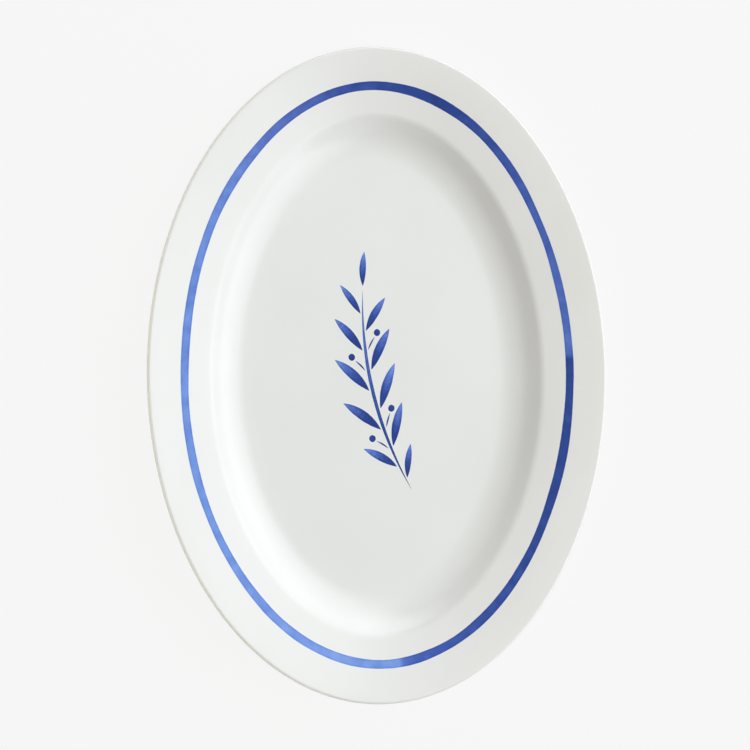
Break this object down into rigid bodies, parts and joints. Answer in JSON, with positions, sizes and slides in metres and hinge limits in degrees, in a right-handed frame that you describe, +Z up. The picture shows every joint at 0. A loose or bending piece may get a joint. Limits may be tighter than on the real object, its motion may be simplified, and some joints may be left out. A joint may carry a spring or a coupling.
{
  "type": "oval serving platter",
  "caption": "Oval glazed ceramic serving platter with a broad sloped rim, a shallow well and a foot ring; a blue brushed line follows the rim and a small leafy sprig sits in the well.",
  "frame": {"origin": "on the table, under the centre of the oval, with the platter resting on its foot ring", "axes": "+X along the platter's length, towards the sprig's tip; +Y across its width; +Z up, out of the well"},
  "size_m": [0.36, 0.27, 0.0253],
  "materials": {
    "biscuit": "bare fired clay, wiped free of glaze on the foot ring's bearing face",
    "white_glaze": "glossy white glaze with a soft waviness",
    "cobalt_paint": "blue brushed pigment sunk into the glaze, uneven in depth, as glossy as the glaze"
  },
  "bodies": {
    "root": {"biscuit_body": "biscuit", "glaze_coat": "white_glaze", "base_glaze": "white_glaze", "rim_line": "cobalt_paint", "sprig_stem": "cobalt_paint", "sprig_leaves": "cobalt_paint", "sprig_berries": "cobalt_paint"}
  },
  "joints": []
}
